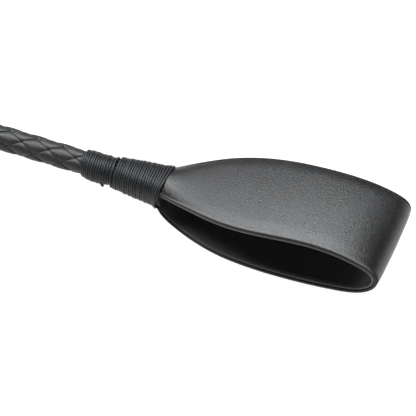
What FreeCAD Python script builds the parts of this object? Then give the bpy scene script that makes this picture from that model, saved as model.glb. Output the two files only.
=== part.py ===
import FreeCAD, Part

import math
import os

import Sketcher

# A plaited riding crop with a folded leather keeper.
# Row frame: origin at the centre of the butt cap's flat end face, +X along the shaft to the keeper, +Z up.

doc = FreeCAD.newDocument("RidingCrop")

# ---------------------------------------------------------------- driving dimensions, mm
SIZES = [
    ("overall_length", 560),        # butt face to the outside of the keeper's fold, without the wrist strap
    ("cap_diameter", 26),
    ("cap_head_length", 10),
    ("cap_edge_radius", 2.5),
    ("cap_skirt_length", 14),
    ("cap_skirt_diameter", 22.8),
    ("cap_bore_diameter", 20.2),
    ("cap_floor", 2),               # solid metal between the head and the grip's end
    ("cap_bead_length", 2.4),       # raised bead round the skirt's open end
    ("cap_bead_height", 0.5),
    ("slot_width", 7.6),
    ("slot_height", 11),
    ("slot_depth", 11),
    ("pin_diameter", 2.4),
    ("pin_length", 25),
    ("pin_station", 6.8),
    ("strap_thickness", 2),
    ("strap_width", 10),
    ("strap_leg_offset", 1.1),      # leg's middle from the centre plane
    ("strap_start", 5.2),           # where the swinging loop begins behind the butt face
    ("strap_straight_end", 46),
    ("strap_bend_radius", 70),
    ("strap_loop_radius", 27),
    ("anchor_mouth", 0.8),          # how far the anchored turn stands out of the slot
    ("anchor_straight_end", 3),
    ("anchor_bend_radius", 4),
    ("anchor_loop_radius", 2.35),
    ("slider_start", 8),
    ("slider_length", 7),
    ("slider_wall", 1.6),
    ("slider_clearance", 0.35),
    ("grip_diameter", 21.2),
    ("grip_end_diameter", 18.6),
    ("grip_length", 152),
    ("plait_thickness", 1.5),
    ("grip_whip_length", 7),
    ("collar_back", 8),             # how far the collar whipping reaches back over the grip
    ("collar_front", 12),           # and forward over the shaft
    ("shaft_rear_diameter", 12),
    ("shaft_tip_diameter", 10.4),
    ("rod_rear_diameter", 7.4),
    ("rod_tip_diameter", 5.6),
    ("rod_end_gap", 1.2),           # rod's end inside the front whipping's mouth
    ("thread_size", 1.1),
    ("rear_whip_length", 13.7),
    ("front_whip_length", 21.6),
    ("mouth_half_width", 9.5),      # outside of the front whipping at the keeper's mouth
    ("mouth_half_height", 8.2),
    ("keeper_reach", 95.3),
    ("keeper_width", 37),           # at the fold
    ("keeper_shoulder_width", 35.2),
    ("keeper_neck_width", 16.4),    # where the loop begins
    ("keeper_shoulder", 36),        # from the mouth to the shoulders' end
    ("outer_ply", 1.3),
    ("lining_ply", 1.0),
    ("flex_gap", 3.2),              # bare stretch at the mouth where the keeper bends
]

sheet = doc.addObject("Spreadsheet::Sheet", "Sizes")
for row, (alias, number) in enumerate(SIZES, start=1):
    sheet.set(f"A{row}", alias)
    sheet.set(f"B{row}", str(number))
    sheet.setAlias(f"B{row}", alias)
doc.recompute()


def size(expression):
    """The number that an expression over the sheet's cells has now."""
    return float(sheet.evalExpression(expression))


# ---------------------------------------------------------------- stations along X, as expressions
GRIP_START = "(Sizes.cap_head_length + Sizes.cap_floor)"
CAP_END = "(Sizes.cap_head_length + Sizes.cap_skirt_length)"
GRIP_END = f"({GRIP_START} + Sizes.grip_length)"
MOUTH = "(Sizes.overall_length - Sizes.keeper_reach)"
FRONT_WHIP = f"({MOUTH} - Sizes.front_whip_length)"
REAR_WHIP = f"({FRONT_WHIP} - Sizes.rear_whip_length)"
ROD_END = f"({MOUTH} - Sizes.rod_end_gap)"


def between(first, last, start, end, station):
    """An expression for a radius that runs straight from first at start to last at end, read at station."""
    return f"({first} + ({last} - {first}) * ({station} - {start}) / ({end} - {start}))"


def rod_radius(station):
    return between("Sizes.rod_rear_diameter / 2", "Sizes.rod_tip_diameter / 2", GRIP_START, ROD_END, station)


def shaft_radius(station):
    rear, tip = "Sizes.shaft_rear_diameter / 2", "Sizes.shaft_tip_diameter / 2"
    return between(rear, tip, GRIP_END, REAR_WHIP, station)


# ---------------------------------------------------------------- helpers that make features
def origin_feature(body, role):
    """The body's own origin plane or axis with this role."""
    return [feature for feature in body.Origin.OriginFeatures if feature.Role == role][0]


def new_sketch(body, name, plane):
    sketch = body.newObject("Sketcher::SketchObject", name)
    sketch.AttachmentSupport = [(origin_feature(body, plane), "")]
    sketch.MapMode = "FlatFace"
    return sketch


def pin_point(sketch, geometry, place, across, up, tag):
    """Ties one sketch point to the origin by two expressions."""
    for kind, axis, text in (("DistanceX", -2, across), ("DistanceY", -1, up)):
        if text == "0":
            sketch.addConstraint(Sketcher.Constraint("PointOnObject", geometry, place, axis))
            continue
        index = sketch.addConstraint(Sketcher.Constraint(kind, -1, 1, geometry, place, size(text)))
        sketch.renameConstraint(index, f"{tag}_{kind[-1].lower()}")
        sketch.setExpression(f"Constraints.{tag}_{kind[-1].lower()}", text)


def closed_outline(sketch, corners):
    """Straight edges through corners given as pairs of expressions, each corner tied to its place."""
    points = [FreeCAD.Vector(size(across), size(up), 0) for across, up in corners]
    count = len(points)
    for index in range(count):
        sketch.addGeometry(Part.LineSegment(points[index], points[(index + 1) % count]), False)
    for index in range(count):
        sketch.addConstraint(Sketcher.Constraint("Coincident", index, 2, (index + 1) % count, 1))
    for index, (across, up) in enumerate(corners):
        pin_point(sketch, index, 1, across, up, f"corner{index}")


def turned(label, corners):
    """A body turned about X; corners are (station, radius) expressions round its half section."""
    body = doc.addObject("PartDesign::Body", label)
    body.Label = label
    sketch = new_sketch(body, f"{label}_section", "XZ_Plane")
    closed_outline(sketch, corners)
    spin = body.newObject("PartDesign::Revolution", f"{label}_turn")
    spin.Profile = sketch
    spin.ReferenceAxis = (origin_feature(body, "X_Axis"), [""])
    spin.Angle = 360
    sketch.Visibility = False
    return body


def sleeve(label, stations, inner, outer):
    """A turned tube: its corners run forward along the outside and back along the inside."""
    corners = [(station, radius) for station, radius in zip(stations, outer)]
    corners += [(station, radius) for station, radius in reversed(list(zip(stations, inner)))]
    return turned(label, corners)


def feature(label, shape):
    """A sub-part whose shape is worked out here from the sheet's values."""
    piece = doc.addObject("Part::Feature", label)
    piece.Label = label
    piece.Shape = shape
    piece.Placement = FreeCAD.Placement()
    return piece


parts = []

# ---------------------------------------------------------------- shaft: rod, underlay, plait
parts.append(turned("core_rod", [
    (GRIP_START, "0"),
    (GRIP_START, rod_radius(GRIP_START)),
    (ROD_END, rod_radius(ROD_END)),
    (ROD_END, "0"),
]))

SHAFT_STATIONS = [GRIP_END, FRONT_WHIP]
plait_inner = [f"({shaft_radius(station)} - Sizes.plait_thickness)" for station in SHAFT_STATIONS]
parts.append(sleeve("shaft_underlay", SHAFT_STATIONS, [rod_radius(s) for s in SHAFT_STATIONS], plait_inner))
parts.append(sleeve("shaft_plait", SHAFT_STATIONS, plait_inner, [shaft_radius(s) for s in SHAFT_STATIONS]))

# ---------------------------------------------------------------- grip: core sleeve and plaited cover
GRIP_MIDDLE = f"(({GRIP_START} + {GRIP_END}) / 2)"
GRIP_STATIONS = [GRIP_START, CAP_END, GRIP_MIDDLE, GRIP_END]
cap_bore_radius = "(Sizes.cap_bore_diameter / 2)"
grip_outer = [cap_bore_radius, cap_bore_radius, "(Sizes.grip_diameter / 2)", "(Sizes.grip_end_diameter / 2)"]
grip_inner = [f"({radius} - Sizes.plait_thickness)" for radius in grip_outer]
parts.append(sleeve("grip_core", GRIP_STATIONS, [rod_radius(s) for s in GRIP_STATIONS], grip_inner))
parts.append(sleeve("grip_plait", GRIP_STATIONS, grip_inner, grip_outer))


def grip_radius(station):
    """Outside of the grip between the cap and its middle, at a station."""
    return between(grip_outer[1], grip_outer[2], CAP_END, GRIP_MIDDLE, station)


# ---------------------------------------------------------------- thread whippings that are round
def whipping(label, stations, radii):
    """Turns of thread laid over the radii, as one sleeve a thread thick."""
    return sleeve(label, stations, radii, [f"({radius} + Sizes.thread_size)" for radius in radii])


WHIP_END = f"({CAP_END} + Sizes.grip_whip_length)"
parts.append(whipping("grip_whipping", [CAP_END, WHIP_END], [grip_radius(CAP_END), grip_radius(WHIP_END)]))
parts.append(whipping("rear_whipping", [REAR_WHIP, FRONT_WHIP],
                      [shaft_radius(REAR_WHIP), shaft_radius(FRONT_WHIP)]))

# The collar steps down from the grip's end to the shaft, so its outline has one more corner at the step.
COLLAR_BACK = f"({GRIP_END} - Sizes.collar_back)"
COLLAR_FRONT = f"({GRIP_END} + Sizes.collar_front)"
collar_back_radius = between(grip_outer[2], grip_outer[3], GRIP_MIDDLE, GRIP_END, COLLAR_BACK)
parts.append(turned("collar_whipping", [
    (COLLAR_BACK, collar_back_radius),
    (COLLAR_BACK, f"({collar_back_radius} + Sizes.thread_size)"),
    (GRIP_END, f"({grip_outer[3]} + Sizes.thread_size)"),
    (COLLAR_FRONT, f"({shaft_radius(COLLAR_FRONT)} + Sizes.thread_size)"),
    (COLLAR_FRONT, shaft_radius(COLLAR_FRONT)),
    (GRIP_END, shaft_radius(GRIP_END)),
    (GRIP_END, grip_outer[3]),
]))

# ---------------------------------------------------------------- butt cap with its strap slot and pin hole
skirt_radius = "Sizes.cap_skirt_diameter / 2"
bead_radius = "(Sizes.cap_skirt_diameter / 2 + Sizes.cap_bead_height)"
cap = turned("butt_cap", [
    ("0", "0"),
    ("0", "Sizes.cap_diameter / 2"),
    ("Sizes.cap_head_length", "Sizes.cap_diameter / 2"),
    (f"({GRIP_START} + 1)", skirt_radius),
    (f"({CAP_END} - Sizes.cap_bead_length)", skirt_radius),
    (f"({CAP_END} - 0.75 * Sizes.cap_bead_length)", bead_radius),
    (f"({CAP_END} - 0.25 * Sizes.cap_bead_length)", bead_radius),
    (CAP_END, skirt_radius),
    (CAP_END, "Sizes.cap_bore_diameter / 2"),
    (GRIP_START, "Sizes.cap_bore_diameter / 2"),
    (GRIP_START, "0"),
])
doc.recompute()
solid_volume = cap.Shape.Volume


def rim_edges(shape, radius):
    """Names of the circular edges that have this radius and lie on the head."""
    names = []
    for index, edge in enumerate(shape.Edges, start=1):
        on_head = edge.BoundBox.XMax < size("Sizes.cap_head_length") + 0.01
        if on_head and hasattr(edge.Curve, "Radius") and abs(edge.Curve.Radius - radius) < 1e-4:
            names.append(f"Edge{index}")
    return names


turned_cap = cap.Tip
rounding = cap.newObject("PartDesign::Fillet", "butt_cap_edges")
rounding.Base = (turned_cap, rim_edges(turned_cap.Shape, size("Sizes.cap_diameter / 2")))
rounding.setExpression("Radius", "Sizes.cap_edge_radius")
doc.recompute()

slot_sketch = new_sketch(cap, "slot_outline", "YZ_Plane")
half_width = "Sizes.slot_width / 2"
half_height = "Sizes.slot_height / 2"
closed_outline(slot_sketch, [
    (f"-{half_width}", f"-{half_height}"),
    (half_width, f"-{half_height}"),
    (half_width, half_height),
    (f"-{half_width}", half_height),
])
slot = cap.newObject("PartDesign::Pocket", "strap_slot")
slot.Profile = slot_sketch
slot.setExpression("Length", "Sizes.slot_depth")
slot.Reversed = True

hole_sketch = new_sketch(cap, "pin_hole_outline", "XY_Plane")
hole_sketch.addGeometry(Part.Circle(FreeCAD.Vector(size("Sizes.pin_station"), 0, 0), FreeCAD.Vector(0, 0, 1),
                                    size("Sizes.pin_diameter / 2")), False)
pin_point(hole_sketch, 0, 3, "Sizes.pin_station", "0", "centre")
ring = hole_sketch.addConstraint(Sketcher.Constraint("Diameter", 0, size("Sizes.pin_diameter")))
hole_sketch.renameConstraint(ring, "bore")
hole_sketch.setExpression("Constraints.bore", "Sizes.pin_diameter")
hole = cap.newObject("PartDesign::Pocket", "pin_hole")
hole.Profile = hole_sketch
hole.Type = "ThroughAll"
hole.Midplane = True
doc.recompute()
print("butt cap, volume before and after its slot and hole:", round(solid_volume), round(cap.Shape.Volume))
parts.append(cap)

pin = doc.addObject("Part::Cylinder", "cap_pin")
pin.Label = "cap_pin"
pin.setExpression("Radius", "Sizes.pin_diameter / 2")
pin.setExpression("Height", "Sizes.pin_length")
pin.setExpression("Placement.Base.x", "Sizes.pin_station")
pin.setExpression("Placement.Base.z", "-Sizes.pin_length / 2")
parts.append(pin)


# ---------------------------------------------------------------- wrist strap: a band swept round a teardrop
def teardrop(sketch, start, straight_end, offset, bend, loop, way):
    """Leg, outward bend, round loop, bend and leg, all tangent, opening along X in the direction way.

    The bend's centre stands bend beyond the leg.
    The loop's centre is on the middle line, where the circles touch.
    """
    rise = offset + bend
    reach = math.sqrt((bend + loop) ** 2 - rise ** 2)
    centre = FreeCAD.Vector(way * (straight_end + reach), 0, 0)
    edges = []
    for side in (1, -1):
        pivot = FreeCAD.Vector(way * straight_end, side * rise, 0)
        touch = centre + (pivot - centre) * (loop / (bend + loop))
        leg_end = FreeCAD.Vector(way * straight_end, side * offset, 0)
        middle = pivot + ((leg_end + touch) * 0.5 - pivot).normalize() * bend
        leg = Part.LineSegment(FreeCAD.Vector(way * start, side * offset, 0), leg_end)
        edges.append([leg, Part.Arc(leg_end, middle, touch), touch])
    crown = centre + FreeCAD.Vector(way * loop, 0, 0)
    upper, lower = edges
    for curve in (upper[0], upper[1], Part.Arc(upper[2], crown, lower[2]), lower[1], lower[0]):
        sketch.addGeometry(curve, False)
    return centre


def strap_band(label, start, straight_end, bend, loop, way):
    """The strap's rectangular section swept along a teardrop in the XY plane."""
    body = doc.addObject("PartDesign::Body", label)
    body.Label = label
    path = new_sketch(body, f"{label}_path", "XY_Plane")
    offset = size("Sizes.strap_leg_offset")
    teardrop(path, start, straight_end, offset, bend, loop, way)
    section = new_sketch(body, f"{label}_section", "YZ_Plane")
    section.AttachmentOffset = FreeCAD.Placement(FreeCAD.Vector(0, 0, way * start), FreeCAD.Rotation())
    near = "(Sizes.strap_leg_offset - Sizes.strap_thickness / 2)"
    far = "(Sizes.strap_leg_offset + Sizes.strap_thickness / 2)"
    closed_outline(section, [
        (near, "-Sizes.strap_width / 2"),
        (far, "-Sizes.strap_width / 2"),
        (far, "Sizes.strap_width / 2"),
        (near, "Sizes.strap_width / 2"),
    ])
    band = body.newObject("PartDesign::AdditivePipe", f"{label}_band")
    band.Profile = section
    band.Spine = path
    band.Transition = "Transformed"
    doc.recompute()
    length = sum(edge.Length for edge in path.Shape.Edges)
    wanted = length * size("Sizes.strap_thickness * Sizes.strap_width")
    print(label, "path", round(length, 1), "volume", round(band.Shape.Volume), "expected", round(wanted))
    return body


parts.append(strap_band("wrist_strap", size("Sizes.strap_start"), size("Sizes.strap_straight_end"),
                        size("Sizes.strap_bend_radius"), size("Sizes.strap_loop_radius"), -1))
parts.append(strap_band("strap_anchor", -size("Sizes.anchor_mouth"), size("Sizes.anchor_straight_end"),
                        size("Sizes.anchor_bend_radius"), size("Sizes.anchor_loop_radius"), 1))

# The sliding ring is a box with a box cut out of it, loose on the strap's two legs.
legs_width = "(2 * Sizes.strap_leg_offset + Sizes.strap_thickness + 2 * Sizes.slider_clearance)"
legs_height = "(Sizes.strap_width + 2 * Sizes.slider_clearance)"
blocks = []
for name, wall, extra in (("slider_block", "2 * Sizes.slider_wall", 0), ("slider_window", "0", 2)):
    block = doc.addObject("Part::Box", name)
    block.setExpression("Length", f"Sizes.slider_length + {2 * extra}")
    block.setExpression("Width", f"{legs_width} + {wall}")
    block.setExpression("Height", f"{legs_height} + {wall}")
    block.setExpression("Placement.Base.x", f"-Sizes.slider_start - Sizes.slider_length - {extra}")
    block.setExpression("Placement.Base.y", f"-({legs_width} + {wall}) / 2")
    block.setExpression("Placement.Base.z", f"-({legs_height} + {wall}) / 2")
    blocks.append(block)
slider = doc.addObject("Part::Cut", "strap_slider")
slider.Label = "strap_slider"
slider.Base = blocks[0]
slider.Tool = blocks[1]
parts.append(slider)

# ---------------------------------------------------------------- oval neck under the front whipping
# Each layer is a loft of ellipses from the shaft's round end to the flatter mouth.
whip_start = size(FRONT_WHIP)
mouth = size(MOUTH)
thread = size("Sizes.thread_size")
shaft_end_radius = size(shaft_radius(FRONT_WHIP))
mouth_width = size("Sizes.mouth_half_width") - thread
mouth_height = size("Sizes.mouth_half_height") - thread
outer_ply = size("Sizes.outer_ply")
lining_ply = size("Sizes.lining_ply")
SKIVED = 0.42    # share of a ply's thickness left at the skived end of its tail
BULGE = 0.62     # how much of the widening is reached half way along the neck


def ellipse_wire(station, half_width, half_height):
    """An ellipse across X; Part wants its longer radius first, so a tall one is turned."""
    centre = FreeCAD.Vector(station, 0, 0)
    side = centre + FreeCAD.Vector(0, max(half_width, half_height + 1e-3), 0)
    curve = Part.Ellipse(side, centre + FreeCAD.Vector(0, 0, half_height), centre)
    return Part.Wire([curve.toShape()])


def oval_layer(first_radius, last_width, last_height):
    """Solid loft through three ellipses: round at the shaft's end, half way, and at the mouth."""
    middle_width = first_radius + (last_width - first_radius) * BULGE
    middle_height = first_radius + (last_height - first_radius) * BULGE
    rings = [ellipse_wire(whip_start, first_radius, first_radius),
             ellipse_wire((whip_start + mouth) / 2, middle_width, middle_height),
             ellipse_wire(mouth, last_width, last_height)]
    return Part.makeLoft(rings, True, False)


neck_outside = oval_layer(shaft_end_radius + thread, mouth_width + thread, mouth_height + thread)
under_thread = oval_layer(shaft_end_radius, mouth_width, mouth_height)
outer_inset = outer_ply * SKIVED
lining_inset = outer_inset + lining_ply * SKIVED
under_outer = oval_layer(shaft_end_radius - outer_inset, mouth_width - outer_ply, mouth_height - outer_ply)
both_plies = outer_ply + lining_ply
under_lining = oval_layer(
    shaft_end_radius - lining_inset, mouth_width - both_plies, mouth_height - both_plies)
parts.append(feature("front_whipping", neck_outside.cut(under_thread)))

TAIL_EDGE_START = 2.2    # height of a tail's edges above the middle plane at its skived end
TAIL_EDGE_MOUTH = 4.0    # and at the mouth
WEDGE_REACH = 30         # how far the wedge stands past the neck on every side


def above_edges(side):
    """Wedge that keeps what lies beyond the tails' edges on one side, +1 above and -1 below."""
    corners = [(whip_start - 1, TAIL_EDGE_START), (mouth + 1, TAIL_EDGE_MOUTH), (mouth + 1, WEDGE_REACH),
               (whip_start - 1, WEDGE_REACH), (whip_start - 1, TAIL_EDGE_START)]
    wire = Part.makePolygon([FreeCAD.Vector(x, -WEDGE_REACH, side * z) for x, z in corners])
    return Part.Face(wire).extrude(FreeCAD.Vector(0, 2 * WEDGE_REACH, 0))


packing = under_thread.cut(doc.getObject("core_rod").Shape)
for word, side in (("upper", 1), ("lower", -1)):
    wedge = above_edges(side)
    outer_tail = under_thread.cut(under_outer).common(wedge)
    lining_tail = under_outer.cut(under_lining).common(wedge)
    parts.append(feature(f"keeper_outer_tail_{word}", outer_tail))
    parts.append(feature(f"keeper_lining_tail_{word}", lining_tail))
    packing = packing.cut(outer_tail).cut(lining_tail)
parts.append(feature("neck_packing", packing))

# ---------------------------------------------------------------- keeper: two plies folded into a loop
# Side view of the strap's outer face, from the upper ply's mouth round the fold to the lower ply's mouth:
# distance from the mouth along X, and height over the shaft's axis.
KEEPER_OUTLINE = [
    (0.0, 7.0), (12.0, 9.4), (36.0, 14.6), (62.0, 19.1), (78.0, 18.5), (87.5, 15.8), (93.2, 12.0),
    (95.3, 7.4), (93.4, 2.6), (88.0, -1.1), (78.0, -6.2), (60.0, -10.1), (36.0, -11.6), (16.0, -13.0),
    (8.5, -12.4), (4.0, -10.4), (0.0, -7.0),
]
NECK_SLOPE = 0.45       # how fast the strap's edge spreads where it leaves the neck
SHOULDER_SLOPE = 0.05   # and where it reaches its shoulders
PLAN_DEPTH = 40         # half the height of the prism that cuts the strap's plan
PLAN_MARGIN = 5
FACE_SPANS = 40         # spans between the points that a ply's curved faces are drawn through


def keeper_face(depth):
    """Points of the strap's face at a depth under its outer face, as (distance, height) pairs."""
    curve = Part.BSplineCurve()
    curve.interpolate([FreeCAD.Vector(x, 0, z) for x, z in KEEPER_OUTLINE])
    spots = []
    for index in range(FACE_SPANS + 1):
        along = curve.FirstParameter + (curve.LastParameter - curve.FirstParameter) * index / FACE_SPANS
        point = curve.value(along)
        tangent = curve.tangent(along)[0]
        inward = FreeCAD.Vector(tangent.z, 0, -tangent.x)
        spots.append(point + inward * depth)
    return spots


def ply(depth, thickness):
    """Prism of one ply across the full width, cut back at the mouth by the flex gap."""
    faces = []
    for level in (depth, depth + thickness):
        curve = Part.BSplineCurve()
        curve.interpolate([FreeCAD.Vector(mouth + spot.x, 0, spot.z) for spot in keeper_face(level)])
        faces.append(curve.toShape())
    outer, inner = faces
    ends = [Part.makeLine(outer.Vertexes[0].Point, inner.Vertexes[0].Point),
            Part.makeLine(outer.Vertexes[-1].Point, inner.Vertexes[-1].Point)]
    section = Part.Face(Part.Wire(Part.__sortEdges__([outer, ends[1], inner, ends[0]])))
    half = size("Sizes.keeper_width") / 2
    prism = section.extrude(FreeCAD.Vector(0, 2 * half, 0))
    prism.translate(FreeCAD.Vector(0, -half, 0))
    return prism.common(keeper_plan())


def keeper_plan():
    """The strap's plan seen from above: narrow neck, curved shoulders, then straight edges to the fold."""
    neck = size("Sizes.keeper_neck_width") / 2
    shoulder = size("Sizes.keeper_shoulder_width") / 2
    full = size("Sizes.keeper_width") / 2
    start = mouth + size("Sizes.flex_gap")
    shoulder_end = mouth + size("Sizes.keeper_shoulder")
    end = size("Sizes.overall_length") + PLAN_MARGIN
    edges = []
    for station, half in ((start, neck), (end, full)):
        edges.append(Part.makeLine(FreeCAD.Vector(station, -half, -PLAN_DEPTH),
                                   FreeCAD.Vector(station, half, -PLAN_DEPTH)))
    for side in (1, -1):
        shoulder_point = FreeCAD.Vector(shoulder_end, side * shoulder, -PLAN_DEPTH)
        bend = Part.BSplineCurve()
        bend.interpolate([FreeCAD.Vector(start, side * neck, -PLAN_DEPTH), shoulder_point],
                         InitialTangent=FreeCAD.Vector(1, side * NECK_SLOPE, 0),
                         FinalTangent=FreeCAD.Vector(1, side * SHOULDER_SLOPE, 0))
        edges.append(bend.toShape())
        edges.append(Part.makeLine(shoulder_point, FreeCAD.Vector(end, side * full, -PLAN_DEPTH)))
    wire = Part.Wire(Part.__sortEdges__(edges))
    return Part.Face(wire).extrude(FreeCAD.Vector(0, 0, 2 * PLAN_DEPTH))


parts.append(feature("keeper_outer", ply(0.0, outer_ply)))
parts.append(feature("keeper_lining", ply(outer_ply, lining_ply)))

# ---------------------------------------------------------------- check every object, then write the files
doc.recompute()
for item in doc.Objects:
    if "Invalid" in item.State or "Error" in item.State:
        raise RuntimeError(f"{item.Label} failed: {item.State}")
os.makedirs("parts", exist_ok=True)
for piece in parts:
    shape = piece.Shape
    if shape.isNull() or not shape.isValid():
        raise RuntimeError(f"{piece.Label} has no valid shape")
    shape.exportStep(f"parts/{piece.Label}.step")
    box = shape.BoundBox
    print(f"{piece.Label:26s} solids {len(shape.Solids)}  volume {shape.Volume:9.1f}")
    print(f"    x {box.XMin:7.1f} {box.XMax:7.1f}  y {box.YMin:6.2f} {box.YMax:6.2f}", end="")
    print(f"  z {box.ZMin:6.2f} {box.ZMax:6.2f}")
print(len(parts), "nodes")
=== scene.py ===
# %% [markdown]
# # A plaited riding crop with a folded leather keeper
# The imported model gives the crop's bodies, joints and plain solids. This lesson dresses it: laces are
# woven round the shaft and grip, waxed thread is wound over the joins, and one wide strap is folded into
# the keeper. Everything is in metres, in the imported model's own frame: +X runs along the shaft to the
# keeper, +Z is up.

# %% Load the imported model
import math

import bmesh
import bpy
import numpy as np
from mathutils import Matrix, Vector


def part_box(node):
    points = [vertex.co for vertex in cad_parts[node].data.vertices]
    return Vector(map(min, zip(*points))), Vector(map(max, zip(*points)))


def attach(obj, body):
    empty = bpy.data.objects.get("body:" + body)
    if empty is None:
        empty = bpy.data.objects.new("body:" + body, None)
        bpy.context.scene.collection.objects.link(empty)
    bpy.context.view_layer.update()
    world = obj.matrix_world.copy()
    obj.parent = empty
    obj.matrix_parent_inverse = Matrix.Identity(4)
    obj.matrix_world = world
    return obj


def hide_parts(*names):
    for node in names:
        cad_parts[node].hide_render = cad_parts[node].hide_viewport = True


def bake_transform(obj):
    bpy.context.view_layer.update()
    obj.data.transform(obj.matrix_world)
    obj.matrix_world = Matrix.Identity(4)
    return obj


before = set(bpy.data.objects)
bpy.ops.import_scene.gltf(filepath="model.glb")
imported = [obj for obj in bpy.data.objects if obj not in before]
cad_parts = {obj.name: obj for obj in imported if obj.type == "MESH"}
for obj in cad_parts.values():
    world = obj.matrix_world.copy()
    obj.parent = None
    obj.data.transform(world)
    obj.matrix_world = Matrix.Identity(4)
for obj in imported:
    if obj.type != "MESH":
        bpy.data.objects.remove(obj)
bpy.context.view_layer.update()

MM = 0.001

# %% [markdown]
# ## Stations along the crop
# A maker marks out the rod before covering it. The same marks are read here from the boxes of the plain
# solids, so that every covering starts and ends where the design says.

# %% Read the stations
cap_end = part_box("butt_cap")[1].x
grip_start, grip_end = (corner.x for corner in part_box("grip_plait"))
collar_back, collar_front = (corner.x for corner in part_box("collar_whipping"))
rear_whip, front_whip = (corner.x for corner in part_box("rear_whipping"))
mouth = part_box("front_whipping")[1].x
floor_height = min(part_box("keeper_outer")[0].z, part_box("butt_cap")[0].z)
shaft_rear_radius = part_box("shaft_plait")[1].z
THREAD = 1.1 * MM
shaft_tip_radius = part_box("rear_whipping")[1].z - THREAD
print("mouth", round(mouth, 4), "floor", round(floor_height, 4))

# %% [markdown]
# ## Camera
# The crop is looked down on from above its front, and a little from the keeper's side. The lens is long
# and the keeper fills the view, so its lines stay nearly parallel, as they look in the hand.

# %% Camera
AZIMUTH = math.radians(20)
ELEVATION = math.radians(56.5)
DISTANCE = 0.588
FRAME_PIXELS = 416
FOCAL_PIXELS = 1470
SENSOR = 36
BEYOND_MOUTH, TO_FRONT = 18.92 * MM, 3.58 * MM
target = np.array([mouth + BEYOND_MOUTH, -TO_FRONT, 0])
back = np.array([math.sin(AZIMUTH) * math.cos(ELEVATION), -math.cos(AZIMUTH) * math.cos(ELEVATION),
                 math.sin(ELEVATION)])
lens = bpy.data.cameras.new("camera")
lens.sensor_width = SENSOR
lens.lens = SENSOR * FOCAL_PIXELS / FRAME_PIXELS
lens.clip_start = 0.01                      # metres
camera = bpy.data.objects.new("camera", lens)
bpy.context.scene.collection.objects.link(camera)
camera.location = target + back * DISTANCE
camera.rotation_euler = (math.pi / 2 - ELEVATION, 0, AZIMUTH)
bpy.context.scene.camera = camera
print("lens", round(lens.lens, 1), "mm")

# %% [markdown]
# ## Light
# Black leather shows its shape only by what it mirrors. One wide soft light hangs over the crop, long
# along X, so that the whole top of the keeper picks it up evenly, and short across, so that the sides of
# the shaft fall dark. The rest of the room is dim.

# %% Soft light and room
COOL_WHITE = (0.97, 0.985, 1)
ROOM_COLOUR, ROOM_STRENGTH = (0.95, 0.97, 1, 1), 0.09


def soft_light(name, direction, distance, width, height, power):
    """A rectangular light at a distance along direction, facing the target, its width along world X."""
    data = bpy.data.lights.new(name, "AREA")
    data.shape = "RECTANGLE"
    data.size, data.size_y = width, height
    data.energy = power
    data.color = COOL_WHITE
    light = bpy.data.objects.new(name, data)
    bpy.context.scene.collection.objects.link(light)
    way = np.array(direction, float)
    way /= np.linalg.norm(way)
    aside = np.cross([0, 1, 0], way)
    aside /= np.linalg.norm(aside)
    light.location = target + way * distance
    light.rotation_mode = "QUATERNION"
    light.rotation_quaternion = Matrix(np.stack([aside, np.cross(way, aside), way], 1)).to_quaternion()
    return light


soft_light("overhead", (-0.24, 0.2, 1), distance=1.5, width=2.5, height=0.95, power=80)
world = bpy.data.worlds.new("studio")
world.use_nodes = True
room = world.node_tree.nodes["Background"]
room.inputs["Color"].default_value = ROOM_COLOUR
room.inputs["Strength"].default_value = ROOM_STRENGTH
bpy.context.scene.world = world
bpy.context.scene.view_settings.view_transform = "Standard"
print("lights", [light.name for light in bpy.data.lights])

# %% [markdown]
# ## Shader arithmetic
# A finish is mostly arithmetic on patterns. Writing it as Python expressions is shorter and easier to
# check than listing Math nodes, so a small class carries a socket and turns each operator into one node.

# %% A socket that can be calculated with
class Value:
    """A shader socket in an expression: every operator adds a Math node to its finish."""

    def __init__(self, finish, socket):
        self.finish, self.socket = finish, socket

    def pick(self, name):
        """Another output of the node that this value comes from."""
        return Value(self.finish, self.socket.node.outputs[name])

    def math(self, operation, *others):
        """One Math node of this value and any others."""
        return self.finish.node("ShaderNodeMath", {"operation": operation}, dict(enumerate((self, *others))))

    def __add__(self, other):
        return self.math("ADD", other)

    def __mul__(self, other):
        return self.math("MULTIPLY", other)

    def __truediv__(self, other):
        return self.math("DIVIDE", other)


# %% [markdown]
# ## A finish
# Each finish is one principled surface with patterns feeding it. This class adds the nodes, so that a
# finish below reads as a recipe: where the pattern lies, what it is, and which property of the leather or
# thread it changes.

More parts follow.
